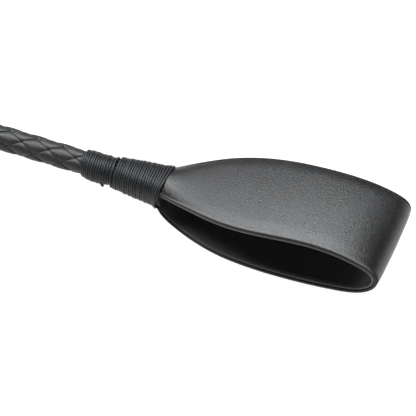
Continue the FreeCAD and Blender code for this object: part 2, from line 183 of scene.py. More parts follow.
# %% A material being built
class Finish:
    """A material being built: one principled surface and the patterns that feed it."""

    def __init__(self, name):
        self.material = bpy.data.materials.new(name)
        self.material.use_nodes = True
        self.tree = self.material.node_tree
        self.surface = self.tree.nodes["Principled BSDF"]

    def node(self, kind, settings=None, inputs=None, output=0):
        """Adds one node: its settings first, then the values or links of its sockets."""
        made = self.tree.nodes.new(kind)
        for name, setting in (settings or {}).items():
            if name == "stops":
                ramp = made.color_ramp
                for index, (position, shade) in enumerate(setting):
                    stop = ramp.elements[index] if index < 2 else ramp.elements.new(position)
                    stop.position = position
                    stop.color = (shade, shade, shade, 1)
            else:
                setattr(made, name, setting)
        for name, value in (inputs or {}).items():
            self.feed(made.inputs[name], value)
        return Value(self, made.outputs[output])

    def feed(self, socket, value):
        """Links a socket to a value, or sets it to a plain number or colour."""
        if isinstance(value, Value):
            self.tree.links.new(value.socket, socket)
        else:
            socket.default_value = value

    def place(self):
        """Position in the object, in metres."""
        return self.node("ShaderNodeTexCoord").pick("Object")

    def along(self):
        """The piece's own map: x runs along the strip and y across it, in metres."""
        return self.node("ShaderNodeUVMap", {"uv_map": "strip"})

    def part(self, vector, axis):
        """One coordinate of a vector."""
        return self.node("ShaderNodeSeparateXYZ", {}, {"Vector": vector}).pick(axis)

    def noise(self, vector, scale, detail, roughness=0.5):
        """Uneven pattern with scale features to the metre, from 0 to 1 about 0.5."""
        return self.node("ShaderNodeTexNoise", {}, {"Vector": vector, "Scale": scale, "Detail": detail,
                                                    "Roughness": roughness})

    def ramp(self, value, stops):
        """Straight lines through (value, result) stops, level outside them."""
        return self.node("ShaderNodeValToRGB", {"stops": stops}, {"Fac": value})

    def blend(self, share, first, second):
        """Mixes two colours by a share."""
        mixed = self.node("ShaderNodeMix", {"data_type": "RGBA"}, {0: share}, output=2)
        self.feed(mixed.socket.node.inputs[6], first)
        self.feed(mixed.socket.node.inputs[7], second)
        return mixed

    def bump(self, height, depth, under=None):
        """Tilts the surface by a height pattern that is depth metres deep."""
        inputs = {"Height": height, "Distance": depth, "Strength": 1.0}
        if under is not None:
            inputs["Normal"] = under
        return self.node("ShaderNodeBump", {}, inputs)

    def set(self, **sockets):
        """Feeds the surface's sockets; an underscore in a name stands for a space."""
        for name, value in sockets.items():
            self.feed(self.surface.inputs[name.replace("_", " ")], value)
        return self.material


# %% [markdown]
# ## Leather
# All the leathers are black but none alike. The keeper is smooth and satin, its lining plainer. The outer
# ply's cut edge is painted a dull black, and the lining's edge is rubbed down until it shines, with a paler
# colour that is a painted highlight. A pebbled grain drives the colour, the gloss and the relief together, as
# it does on a real hide.

# %% Leather
PORE_FINENESS = 2.7                         # pores to one pebble of the grain
DRIFT_SCALE = 60.0                          # patches of more and less gloss, to the metre
GLOSS_SPREAD = 0.05


def leather(name, shade, sheen_roughness, grain_scale, grain_depth, mottle=0.25, gloss=0.5):
    """Finished leather: fine pebbled grain, small pores and a slow drift in its gloss.

    The colour runs from shade * (1 - mottle) to shade * (1 + mottle), and the roughness varies about
    sheen_roughness.
    """
    finish = Finish(name)
    place = finish.place()
    grain = finish.noise(place, grain_scale, 3.0, 0.55)
    pores = finish.noise(place, grain_scale * PORE_FINENESS, 1.0, 0.4)
    drift = finish.noise(place, DRIFT_SCALE, 2.0)
    tone = grain * 0.5 + drift * 0.5
    light = tuple(channel * (1 + mottle) for channel in shade) + (1,)
    dark = tuple(channel * (1 - mottle) for channel in shade) + (1,)
    colour = finish.blend(finish.ramp(tone, [(0.35, 0.0), (0.65, 1.0)]), dark, light)
    smoothest, roughest = sheen_roughness - GLOSS_SPREAD, sheen_roughness + GLOSS_SPREAD
    rough = finish.ramp(grain * 0.6 + drift * 0.4, [(0.3, smoothest), (0.7, roughest)])
    relief = finish.bump(grain + pores * 0.4, grain_depth)
    return finish.set(Base_Color=colour, Roughness=rough, Normal=relief, Specular_IOR_Level=gloss)


keeper_leather = leather("keeper_leather", (0.0055, 0.0057, 0.006), sheen_roughness=0.335, grain_scale=2000.0,
                         grain_depth=0.13 * MM, mottle=0.4)
lining_leather = leather("lining_leather", (0.034, 0.0342, 0.035), sheen_roughness=0.5, grain_scale=900.0,
                         grain_depth=0.03 * MM)
edge_paint = leather("edge_paint", (0.006, 0.0062, 0.0065), sheen_roughness=0.5, grain_scale=700.0,
                     grain_depth=0.03 * MM, mottle=0.15, gloss=0.2)
# Painted highlight: the lining's edge is paler than the lining to stand for the light its rounded edge
# catches.
burnished_edge_highlight = leather("burnished_edge_highlight", (0.048, 0.0485, 0.050), sheen_roughness=0.42, grain_scale=900.0,
                         grain_depth=0.03 * MM, mottle=0.3)
strap_leather = leather("strap_leather", (0.013, 0.0132, 0.0138), sheen_roughness=0.45, grain_scale=1300.0,
                        grain_depth=0.06 * MM)
packing_leather = leather("packing_leather", (0.006, 0.0058, 0.0056), sheen_roughness=0.7, grain_scale=700.0,
                          grain_depth=0.15 * MM, gloss=0.2)
print("leathers", [material.name for material in bpy.data.materials])

# %% [markdown]
# ## Lace leather
# The laces of a plait are cut from thinner, duller leather. Their edges lie down in the grooves, where no
# light and no polish reach; the lace's own map darkens the colour there, which is painted shade.

# %% Lace leather
LACE_DARK, LACE_LIGHT = (0.009, 0.0091, 0.0094, 1), (0.015, 0.0152, 0.0157, 1)
# Painted shade: the near-black colour of the lace edges where they sink into the grooves.
LACE_GROOVE_SHADE = (0.003, 0.003, 0.0032, 1)


def lace_leather(name, half_width):
    """Grain as above, and painted shade: nearly black within the last seventh of the half width on both
    sides.
    """
    finish = Finish(name)
    place = finish.place()
    across = finish.part(finish.along(), "Y")
    # This mask paints shade where the lace dips into the grooves beside its neighbours.
    edge = finish.ramp((across / half_width).math("ABSOLUTE"), [(0.86, 0.0), (0.98, 1.0)])
    grain = finish.noise(place, 1300.0, 3.0, 0.55)
    drift = finish.noise(place, 220.0, 2.0)
    face = finish.blend(finish.ramp(grain * 0.5 + drift * 0.5, [(0.35, 0.0), (0.65, 1.0)]),
                        LACE_DARK, LACE_LIGHT)
    colour = finish.blend(edge, face, LACE_GROOVE_SHADE)
    rough = finish.ramp(grain * 0.6 + drift * 0.4, [(0.3, 0.46), (0.7, 0.56)])
    relief = finish.bump(grain, 0.07 * MM)
    return finish.set(Base_Color=colour, Roughness=rough, Normal=relief, Specular_IOR_Level=0.45)


shaft_lace = lace_leather("shaft_lace", 3.1 * MM)
grip_lace = lace_leather("grip_lace", 3.1 * MM)

# %% [markdown]
# ## Waxed thread
# The whippings are linen thread drawn through wax. The thread's two plies twist round each other, which the
# map gives as slanting stripes: a wave whose phase grows along the thread and round it. The stripes tilt the
# relief, and they also make the colour lighter on each ply's crest and darker in the twist between, which is
# painted shade; smears of wax vary the colour as well.

# %% Waxed thread
TWIST_LENGTH = 1.5 * MM
THREAD_DARK, THREAD_LIGHT = (0.004, 0.0045, 0.005, 1), (0.016, 0.017, 0.018, 1)


def waxed_thread():
    """Twisted linen under wax, with smears of duller wax.

    The plies are half plus half the sine of 2 pi x / twist length + 4 y / thread size, on the thread's map.
    They shape the relief and also paint shade into the colour, darker in the twist.
    """
    finish = Finish("waxed_thread")
    strip = finish.along()
    twist = finish.part(strip, "X") * (2 * math.pi / TWIST_LENGTH) + finish.part(strip, "Y") * (4 / THREAD)
    plies = twist.math("SINE") * 0.5 + 0.5
    place = finish.place()
    wax = finish.noise(place, 500.0, 3.0, 0.6)
    fuzz = finish.noise(place, 6000.0, 2.0, 0.6)
    # The plies paint shade here: lighter on each crest, darker in the twist between; the wax share is the
    # thread's own uneven tone.
    colour = finish.blend(finish.ramp(plies * 0.4 + wax * 0.6, [(0.3, 0.0), (0.75, 1.0)]),
                          THREAD_DARK, THREAD_LIGHT)
    rough = finish.ramp(wax, [(0.3, 0.38), (0.7, 0.58)])
    relief = finish.bump(fuzz, 0.03 * MM, under=finish.bump(plies, 0.025 * MM))
    return finish.set(Base_Color=colour, Roughness=rough, Normal=relief, Specular_IOR_Level=0.38)


thread_finish = waxed_thread()

# %% [markdown]
# ## Turned metal
# The cap and its pin come off a lathe, which leaves very fine rings about the X axis. They are a pattern
# of the distance along the axis and the distance from it, and nothing else.

# %% Turned metal
def turned_metal(name, shade, metal, roughness):
    """Fine rings in relief and gloss, read at (x, root of y squared plus z squared), with a few scuffs."""
    finish = Finish(name)
    place = finish.place()
    station = finish.part(place, "X")
    y_squared = finish.part(place, "Y").math("POWER", 2.0)
    z_squared = finish.part(place, "Z").math("POWER", 2.0)
    radius = (y_squared + z_squared).math("SQRT")
    rings = finish.noise(finish.node("ShaderNodeCombineXYZ", {}, {"X": station, "Y": radius}), 4000.0, 1.0)
    scuffs = finish.noise(place, 300.0, 4.0, 0.6)
    rough = finish.ramp(rings * 0.5 + scuffs * 0.5, [(0.3, roughness - 0.08), (0.7, roughness + 0.08)])
    relief = finish.bump(rings, 0.01 * MM)
    return finish.set(Base_Color=(*shade, 1), Metallic=metal, Roughness=rough, Normal=relief)


cap_finish = turned_metal("cap_metal", (0.035, 0.036, 0.038), 0.85, 0.34)
pin_finish = turned_metal("pin_steel", (0.45, 0.45, 0.46), 1.0, 0.3)
print("finishes", [material.name for material in bpy.data.materials])

# %% [markdown]
# ## Surfaces from grids
# Nearly every new piece is a strip or a tube: a small section carried along a path. As a grid of points
# that is one array, section by section, and the faces follow from the grid's order.

# %% Faces and map of one grid
def grid_faces(rows, ring, wrap_along):
    """Row i and column j of each quad's first corner, and all four as i * ring + j with the next ones."""
    spans = rows if wrap_along else rows - 1
    i, j = np.meshgrid(np.arange(spans), np.arange(ring), indexing="ij")
    following, beside = (i + 1) % rows, (j + 1) % ring
    corners = [i * ring + j, i * ring + beside, following * ring + beside, following * ring + j]
    return i, j, np.stack(corners, -1).reshape(-1, 4)


def strip_map(grid, widths, i, j):
    """Map of the quads in metres: the distance along the grid's middle, and widths across it."""
    middle = grid.mean(1)
    step = np.linalg.norm(np.diff(middle, axis=0, append=middle[:1]), axis=1)
    along = np.concatenate([[0], np.cumsum(step)])
    across = np.append(widths, widths[0])
    corners = [(along[i], across[j]), (along[i], across[j + 1]),
               (along[i + 1], across[j + 1]), (along[i + 1], across[j])]
    return np.stack([np.stack(corner, -1) for corner in corners], 2).reshape(-1, 2)


# %% [markdown]
# The faces of all the grids go into one mesh. Where a piece has two finishes, its cut edges take the
# second one, and the columns that lie on an edge say where.

# %% Grids to a piece
def surface(name, grids, finishes, widths, wrap_along=False, edge_columns=None):
    """Joins each grid[i, j] of points to its neighbours; j always closes into a ring.

    i runs along the piece; it closes too if wrap_along, and otherwise both end rings are capped.
    """
    points, quads, caps, maps, shades = [], [], [], [], []
    start = 0
    for grid in grids:
        rows, ring = grid.shape[:2]
        i, j, faces = grid_faces(rows, ring, wrap_along)
        quads.append(faces + start)
        maps.append(strip_map(grid, widths, i, j))
        if edge_columns is not None:
            shades.append(edge_columns[j].reshape(-1))
        if not wrap_along:
            caps += [list(range(start + ring - 1, start - 1, -1)),
                     list(range(start + (rows - 1) * ring, start + rows * ring))]
        points.append(grid.reshape(-1, 3))
        start += rows * ring
    quads = np.concatenate(quads)
    mesh = bpy.data.meshes.new(name)
    mesh.from_pydata(np.concatenate(points).tolist(), [], quads.tolist() + caps)
    strip = mesh.uv_layers.new(name="strip")
    flat = np.zeros((len(mesh.loops), 2), np.float32)
    flat[:len(quads) * 4] = np.concatenate(maps)
    strip.data.foreach_set("uv", flat.reshape(-1))
    for finish in finishes:
        mesh.materials.append(finish)
    if edge_columns is not None:
        columns = np.zeros(len(mesh.polygons), np.int32)
        columns[:len(quads)] = np.concatenate(shades)
        mesh.polygons.foreach_set("material_index", columns)
    mesh.polygons.foreach_set("use_smooth", np.ones(len(mesh.polygons), bool))
    work = bmesh.new()
    work.from_mesh(mesh)
    bmesh.ops.recalc_face_normals(work, faces=work.faces)
    work.to_mesh(mesh)
    work.free()
    piece = bpy.data.objects.new(name, mesh)
    bpy.context.scene.collection.objects.link(piece)
    print(name, len(mesh.polygons), "faces")
    return piece


# %% [markdown]
# ## A lace
# A lace is a flat strip whose edges are rounded off, so its section is a superellipse: an oval made
# squarer by a power above 2. It is also a little thinner towards its edges, where it is drawn tight over
# its neighbours.

# %% Lace section
LACE_THICK = 1.05 * MM
LACE_SIDES = 18
LACE_POWER = 2.6
LACE_THINNING = 0.18                        # share of the thickness lost by the edges


def lace_section(count, power):
    """Superellipse of half width 1 and half height 1: |across| ** power + |up| ** power = 1."""
    turn = np.arange(count) * 2 * math.pi / count
    cosine, sine = np.cos(turn), np.sin(turn)
    return np.sign(cosine) * np.abs(cosine) ** (2 / power), np.sign(sine) * np.abs(sine) ** (2 / power)


print("a lace is a ring of", LACE_SIDES, "points,", LACE_THICK, "m thick")

# %% [markdown]
# ## Weaving
# Half the laces wind one way and half the other, each passing over one and under the next. Unrolled, a
# lace is a straight slanting strip, so the plait is worked out flat and then rolled up: a point at
# distance x along the shaft and angle a round it rises or sinks with the number of laces of the other
# hand that it has crossed.
#
# The height is the tanh of a steep cosine, which is level on each crest and in each hollow and quick
# between them. A plain cosine would make every crossing look like a pillow.

# %% One woven lace
STEEP = 1.7
LACE_COVER = 0.97                           # share of its space that a lace fills


def woven_lace(station, hand, lace, half, lead, crossing, outside):
    """Points of one lace: it winds at hand * 2 pi / lead, and is high where it has crossed an even number.

    The number crossed is (a + hand * 2 pi x / lead) * half / 2 pi - lace, x and a from a crossing.
    """
    width_across, height_across = lace_section(LACE_SIDES, LACE_POWER)
    radius = outside(station) - LACE_THICK
    slant = np.arctan(2 * math.pi * radius / lead)
    half_width = math.pi * radius / half * np.cos(slant) * LACE_COVER
    turned = 2 * math.pi * (station - crossing[0]) / lead
    centre = crossing[1] + 2 * math.pi * lace / half + hand * turned
    offset = width_across[None, :] * half_width
    x = station - hand * np.sin(slant) * offset
    angle = centre + np.cos(slant) * offset / radius
    unwound = angle - crossing[1] + hand * 2 * math.pi * (x - crossing[0]) / lead
    crossed = unwound * half / (2 * math.pi) - lace
    wave = np.tanh(STEEP * hand * np.cos(math.pi * crossed)) / math.tanh(STEEP)
    thinned = height_across[None, :] * (1 - LACE_THINNING * width_across[None, :] ** 2)
    height = radius + LACE_THICK * 0.5 * (wave + thinned)
    points = np.stack([x, height * np.cos(angle), height * np.sin(angle)], -1)
    return points, width_across * float(half_width.mean())


# %% [markdown]
# A plait is all its laces in one piece. Their ends are cut square, since a whipping hides them.

# %% A whole plait
RINGS_TO_CROSSING = 10


def plait(name, start, end, outside, laces, lead, crossing, material, node):
    """Weaves laces round X; outside gives the radius at a distance, crossing is the (x, angle) of one."""
    half = laces // 2
    station = np.linspace(start, end, int((end - start) / (lead / laces) * RINGS_TO_CROSSING))[:, None]
    woven = [woven_lace(station, hand, lace, half, lead, crossing, outside)
             for hand in (1, -1) for lace in range(half)]
    grids = [points for points, across in woven]
    for points in grids:
        points[:, :, 0] = np.clip(points[:, :, 0], start, end)
    piece = surface(name, grids, (material,), widths=woven[0][1])
    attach(piece, "crop")
    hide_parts(node)
    return piece


# %% [markdown]
# ## Plait of the shaft
# Eight laces make long diamonds on a thin rod. The length of a diamond is chosen first and the lead
# follows from it, since a lace passes half of all the laces' diamonds in one turn.

# %% Shaft
SHAFT_LACES = 8
SHAFT_DIAMOND = 11.95 * MM
DRAWN_IN, DRAWN_FROM, DRAWN_LENGTH = 0.8 * MM, 2.5 * MM, 4 * MM
shaft_crossing = (front_whip - 35.4 * MM, math.radians(113))


def shaft_outside(x):
    """The shaft's plait tapers evenly from the collar and is drawn in under the first turns of thread."""
    taper = np.interp(x, [grip_end, rear_whip], [shaft_rear_radius, shaft_tip_radius])
    return taper - DRAWN_IN * np.clip((x - rear_whip + DRAWN_FROM) / DRAWN_LENGTH, 0, 1) ** 2


plait("shaft_laces", grip_end, front_whip, shaft_outside, SHAFT_LACES, SHAFT_LACES // 2 * SHAFT_DIAMOND,
      shaft_crossing, shaft_lace, "shaft_plait")

# %% [markdown]
# ## Plait of the grip
# The grip is a padded barrel, thick enough to need sixteen laces of the same width. It is level where the
# cap slips over it and swells a little in the middle of the hand.

# %% Grip
GRIP_LACES = 16
GRIP_DIAMOND = 10.9 * MM
GRIP_RADII = [10.1 * MM, 10.1 * MM, 10.6 * MM, 9.3 * MM]
grip_middle = (grip_start + grip_end) / 2


def grip_outside(x):
    """The grip is a slight barrel, level under the cap."""
    return np.interp(x, [grip_start, cap_end, grip_middle, grip_end], GRIP_RADII)


plait("grip_laces", grip_start, grip_end, grip_outside, GRIP_LACES, GRIP_LACES // 2 * GRIP_DIAMOND,
      (grip_middle, math.radians(90)), grip_lace, "grip_plait")

# %% [markdown]
# ## Whipping
# A whipping is one thread wound tightly in touching turns over a join. The thread's middle follows a
# helix whose distance from the axis is the thing under it plus half a thread. A hand winds unevenly, so
# the helix wanders a little: the sum of a few sines whose periods do not fit together never seems to
# repeat.

# %% Unsteady hand
def unsteady_hand(turn, seed):
    """Wandering of a thread along the crop and away from it, as shares of the largest wander."""
    along = np.sin(1.7 * turn + seed) + 0.7 * np.sin(4.3 * turn + 2 * seed) + 0.5 * np.sin(11.1 * turn + seed)
    away = np.sin(2.61 * np.floor(turn + 0.5) + seed) + np.sin(0.83 * turn) * np.sin(2.1 * turn)
    return along, away


# %% [markdown]
# The thing under a whipping is seldom round: over the keeper's folded tails it is a wide, flat oval. The
# outline is a superellipse that changes from station to station, and the thread is led round it.

# %% Winding
PITCH = 1.0 * MM
TURN_POINTS = 44
TUCKED_TURN, TUCK_DEPTH = 0.3, 1.5 * THREAD
LEAN_REACH, LEAN_TURN = 9 * MM, math.radians(32)
LEAN_MIDDLE = 0.1
DRIFT_ALONG = 0.5


def wound_thread(stations, widths, heights, powers, wander, lumps=(), shift=(0.0, 0.0), lean=(0.0, 0.0),
                 seed=0.0):
    """Path of a thread wound over outlines that stand across X at the stations.

    Each outline is a superellipse: |y / width| ** power + |z / height| ** power = 1. Lumps are (station,
    spread, height) where a few turns lie on top of others, and shift moves the middle of the winding off the
    axis. Lean slants the first and the last turns: forward by that distance over the top, back by as much
    underneath. Both ends of the thread are tucked under.
    """
    reach = np.linspace(stations[0] + PITCH / 2, stations[-1] - PITCH / 2, 400)
    slope = np.hypot(np.gradient(reach), np.gradient(np.interp(reach, stations, widths)))
    length = np.concatenate([[0], np.cumsum(slope[1:])])
    turns = length[-1] / PITCH
    turn = np.linspace(0, turns, int(turns * TURN_POINTS))
    x = np.interp(turn / turns, length / length[-1], reach)
    along, away = unsteady_hand(turn, seed)
    lift = away * wander
    for station, spread, rise in lumps:
        lift = lift + rise * np.exp(-((x - station) / spread) ** 2)
    lift = lift - TUCK_DEPTH * np.clip(1 - np.minimum(turn, turns - turn) / TUCKED_TURN, 0, 1) ** 2
    angle = 2 * math.pi * turn + seed
    power = np.interp(x, stations, powers)
    across = np.interp(x, stations, widths) + lift
    up = np.interp(x, stations, heights) + lift
    radius = (np.abs(np.cos(angle) / across) ** power + np.abs(np.sin(angle) / up) ** power) ** (-1 / power)
    middle = np.sin(math.pi * turn / turns) ** 2
    first = lean[0] * np.clip((stations[0] - x) / LEAN_REACH + 1, 0, 1) ** 2
    last = lean[1] * np.clip((x - stations[-1]) / LEAN_REACH + 1, 0, 1) ** 2
    x = x + (first + last) * (np.cos(angle - LEAN_TURN) - LEAN_MIDDLE)
    return np.stack([x + along * wander * DRIFT_ALONG, radius * np.cos(angle) + shift[0] * middle,
                     radius * np.sin(angle) + shift[1] * middle], -1)


# %% [markdown]
# The path becomes a thread by carrying a round section along it. One axis of each ring points away from
# the crop's middle line, so neighbouring rings never twist against each other.

# %% Thread along a path
THREAD_SIDES = 9


def thread_tube(path):
    """Rings of points at half a thread's size round the path: outward * cos(turn) + sideways * sin(turn)."""
    ahead = np.gradient(path, axis=0)
    ahead /= np.linalg.norm(ahead, axis=1, keepdims=True)
    outward = path * np.array([0, 1, 1])
    outward -= ahead * (outward * ahead).sum(1, keepdims=True)
    outward /= np.linalg.norm(outward, axis=1, keepdims=True)
    sideways = np.cross(ahead, outward)
    turn = np.arange(THREAD_SIDES) * 2 * math.pi / THREAD_SIDES
    ring = outward[:, None] * np.cos(turn)[None, :, None] + sideways[:, None] * np.sin(turn)[None, :, None]
    return path[:, None] + ring * (THREAD / 2)


def whipping(name, node, *paths):
    """Threads of one whipping as one piece: the winding itself and any loose end."""
    piece = surface(name, [thread_tube(path) for path in paths], (thread_finish,),
                    widths=np.arange(THREAD_SIDES) * math.pi * THREAD / THREAD_SIDES)
    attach(piece, "crop")
    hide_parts(node)
    return piece


def middle_line(outside):
    """Radii of the thread's middle from outside radii in millimetres."""
    return [radius * MM - THREAD / 2 for radius in outside]


def loose_strand(reach, radii, degrees, count):
    """A short length of thread: distance, radius and angle each run evenly from a first to a last value."""
    turn = np.radians(np.linspace(*degrees, count))
    radius = np.linspace(*radii, count) * MM
    return np.stack([np.linspace(*reach, count), radius * np.cos(turn), radius * np.sin(turn)], -1)


# %% [markdown]
# ## Rear whipping
# It ties down the plait near its end, and bulges a little in the middle. The thread was cut there, and a
# short end sticks out between two turns.

# %% Rear whipping
rear_length = front_whip - rear_whip
rear_at = rear_whip + np.array([-0.09, 0.06, 0.22, 0.68, 0.87, 1.01]) * rear_length
rear_radii = middle_line([5.45, 6.0, 6.3, 6.25, 5.75, 5.5])
cut_at = rear_whip + 0.62 * rear_length
cut_end = loose_strand((cut_at, cut_at + 1.0 * MM), (6.0, 6.85), (195, 212), 12)
rear_winding = wound_thread(rear_at, rear_radii, rear_radii, [2] * 6, 0.07 * MM,
                            shift=(-0.25 * MM, -0.16 * MM), lean=(-0.6 * MM, 0.0), seed=0.4)
whipping("rear_whip_thread", "rear_whipping", rear_winding, cut_end)

# %% [markdown]
# ## Front whipping
# It holds both ends of the keeper's strap, so it swells from a round section to a wide oval at the
# keeper's mouth. A few turns lie double at either end, and one slack strand crosses the gap to the rear
# whipping.

# %% Front whipping
front_at = np.append(front_whip + np.array([-0.3, 4.8, 10.3, 16.5]) * MM, mouth + 0.3 * MM)
front_widths = middle_line([6.5, 7.2, 7.75, 8.15, 8.8])
front_heights = middle_line([6.5, 6.95, 7.3, 7.7, 8.1])
front_powers = [2, 2.3, 2.5, 2.7, 2.7]
doubled = ((front_whip + 1.2 * MM, 0.9 * MM, 0.35 * MM), (mouth - 1.2 * MM, 0.9 * MM, 0.4 * MM))
front_winding = wound_thread(front_at, front_widths, front_heights, front_powers, 0.08 * MM,
                             lumps=doubled, lean=(0.0, 1.6 * MM), seed=1.9)
slack = loose_strand((front_whip - 1.4 * MM, front_whip - 0.4 * MM), (5.7, 6.3), (-30, 200), 90)
whipping("front_whip_thread", "front_whipping", front_winding, slack)

# %% [markdown]
# ## Whippings on the handle
# The same thread covers the edge of the cap and the step from the grip down to the shaft. Both follow the
# plait beneath them, half a thread further out.

# %% Handle whippings
grip_whip_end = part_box("grip_whipping")[1].x
grip_whip_at = np.array([cap_end, grip_whip_end])
grip_whip_radii = grip_outside(grip_whip_at) + THREAD / 2
whipping("grip_whip_thread", "grip_whipping",
         wound_thread(grip_whip_at, grip_whip_radii, grip_whip_radii, [2] * 2, 0.04 * MM, seed=2.7))
collar_at = np.array([collar_back, grip_end, collar_front])
covered = np.array([grip_outside(collar_back), grip_outside(grip_end), shaft_outside(collar_front)])
collar_radii = covered + THREAD / 2
whipping("collar_thread", "collar_whipping",
         wound_thread(collar_at, collar_radii, collar_radii, [2] * 3, 0.05 * MM, seed=0.9))

# %% [markdown]
# ## The keeper
# One long strap in two plies, a smooth outer leather and a thinner lining, is folded end to end; both
# ends are bound under the front whipping. Bent leather takes the smoothest curve it can, which a cubic
# spline through a few points copies well.

# %% Smooth curve through points
def smooth_curve(knots, values, where):
    """Natural cubic spline: cubics agreeing in slope and curvature where they meet, straight at the ends."""
    knots, values = np.asarray(knots, float), np.asarray(values, float)
    gap, count = np.diff(knots), len(knots)
    slope = np.diff(values) / gap
    system, right = np.eye(count), np.zeros(count)
    for row in range(1, count - 1):
        system[row, row - 1:row + 2] = gap[row - 1], 2 * (gap[row - 1] + gap[row]), gap[row]
        right[row] = 6 * (slope[row] - slope[row - 1])
    bend = np.linalg.solve(system, right)
    span = np.clip(np.searchsorted(knots, where) - 1, 0, count - 2)
    left, right_side, wide = where - knots[span], knots[span + 1] - where, gap[span]
    return (bend[span] * right_side ** 3 / (6 * wide) + bend[span + 1] * left ** 3 / (6 * wide)
            + (values[span] / wide - bend[span] * wide / 6) * right_side
            + (values[span + 1] / wide - bend[span + 1] * wide / 6) * left)


# %% [markdown]
# The strap's side view runs from the upper tail, under the whipping, out over the top, round the fold and
# back along the lower leg. Its plan widens from narrow tails to full width at a third of the way. Both
# count from the mouth.

# %% Side view and plan of the strap
TAIL = -18.5
SIDE_VIEW = np.array([
    (TAIL, 5.2), (-10.0, 6.35), (-1.0, 7.05), (12.0, 9.5), (36.0, 15.1), (62.0, 19.6), (78.0, 19.1),
    (87.5, 16.4), (93.5, 12.3), (95.2, 7.2), (93.9, 1.8), (89.5, -3.4), (78.3, -7.9), (60.0, -10.7),
    (36.0, -11.5), (16.0, -13.0), (8.5, -12.4), (4.0, -10.4), (-1.0, -7.4), (-10.0, -6.35),
    (TAIL, -5.2)]) * MM
PLAN_AT = np.array([TAIL, -8.0, 0.0, 5.0, 12.0, 24.0, 36.0, 60.0, 96.0]) * MM
PLAN_HALF = np.array([4.0, 5.8, 7.2, 9.1, 11.6, 15.4, 17.55, 18.0, 18.5]) * MM
OUTER_PLY, LINING_PLY = 1.3 * MM, 1.0 * MM
KEEPER_ROWS = 300


def keeper_line(count):
    """Points of the outer face seen from the side, evenly spread, with the unit inward direction at each."""
    steps = np.linalg.norm(np.diff(SIDE_VIEW, axis=0), axis=1)
    knots = np.concatenate([[0], np.cumsum(steps)])
    where = np.linspace(0, knots[-1], count)
    line = np.stack([smooth_curve(knots, column, where) for column in SIDE_VIEW.T], -1)
    ahead = np.gradient(line, axis=0)
    ahead /= np.linalg.norm(ahead, axis=1, keepdims=True)
    return line, np.stack([ahead[:, 1], -ahead[:, 0]], -1), where / knots[-1]


strap_steps = np.linalg.norm(np.diff(keeper_line(KEEPER_ROWS)[0], axis=0), axis=1)
print("keeper strap", round(float(strap_steps.sum()), 4), "m long")

# %% [markdown]
# ## Section of a ply
# Cut leather is flat on both faces and slightly rounded at its corners, more on the side that is rubbed
# down. The flat part is stored as a share of the width, so that one section serves the whole of the
# tapering strap.

# %% Ply section
FACE_POINTS = 27
CORNER_POINTS = 5


def ply_section(thickness, outer_corner, inner_corner):
    """Rounded rectangle as three rows: share of the flat half width, distance beyond it, and depth.

    It runs across the outer face, round one edge, back across the inner face and round the other edge.
    """
    bend = np.linspace(0, math.pi / 2, CORNER_POINTS)
    flat, level = np.linspace(-1, 1, FACE_POINTS), np.zeros(FACE_POINTS)
    edge, step = np.ones(2 * CORNER_POINTS), outer_corner - inner_corner
    near_out = np.concatenate([outer_corner * np.sin(bend), inner_corner * np.cos(bend) + step])
    near_down = np.concatenate([outer_corner * (1 - np.cos(bend)),
                                thickness - inner_corner + inner_corner * np.sin(bend)])
    far_out = np.concatenate([-(inner_corner * np.sin(bend)) - step, -(outer_corner * np.cos(bend))])
    far_down = np.concatenate([thickness - inner_corner * (1 - np.cos(bend)),
                               outer_corner * (1 - np.sin(bend))])
    share = np.concatenate([flat, edge, -flat, -edge])
    beyond = np.concatenate([level, near_out, level, far_out])
    depth = np.concatenate([level, near_down, level + thickness, far_down])
    return share, beyond, depth


# %% [markdown]
# ## Shape of a ply
# The upper leg is not flat. It is cupped where it leaves the whipping, gently crowned along its middle,
# and rolls down at its edges; the fold is skewed, because the strap was bent over by hand. The tails are
# skived, which is to say pared thin, so that they bind flat.

# %% Ply shape
UPPER_UNTIL, UPPER_FADE = 0.58, 0.16        # shares of the strap's length
CROWN, CROWN_REACH, CROWN_LEVEL = 0.7 * MM, 30 * MM, 0.9
EDGE_ROLL, ROLL_WIDTH, ROLL_LEVEL = 0.6 * MM, 5.5 * MM, 0.7
FOLD_REACH, FOLD_SKEW = -0.6 * MM, 1.6 * MM
FOLD_FROM, FOLD_LENGTH = 50 * MM, 45 * MM
NECK_EXTRA, NECK_REACH = 1.5 * MM, 5 * MM
SKIVED, SKIVED_REACH = 0.6, 18 * MM
UPPER_CUP, LOWER_CUP = np.array([(2.3, 24.0), (0.8, 6.0)])[:, :, None] * MM


def ply_half_width(reach, progress, upper, proud, recess):
    """Half width of the plan: proud on the upper leg, recessed on the lower, with a wider lower neck."""
    half = smooth_curve(PLAN_AT, PLAN_HALF, np.clip(reach, PLAN_AT[0], PLAN_AT[-1]))
    half = half + proud * upper - recess * (1 - upper)
    neck_spread = np.where(reach > 0, NECK_REACH, NECK_REACH / 3)
    return half + np.where(progress > 0.5, NECK_EXTRA, 0.0) * np.exp(-(reach / neck_spread) ** 2)


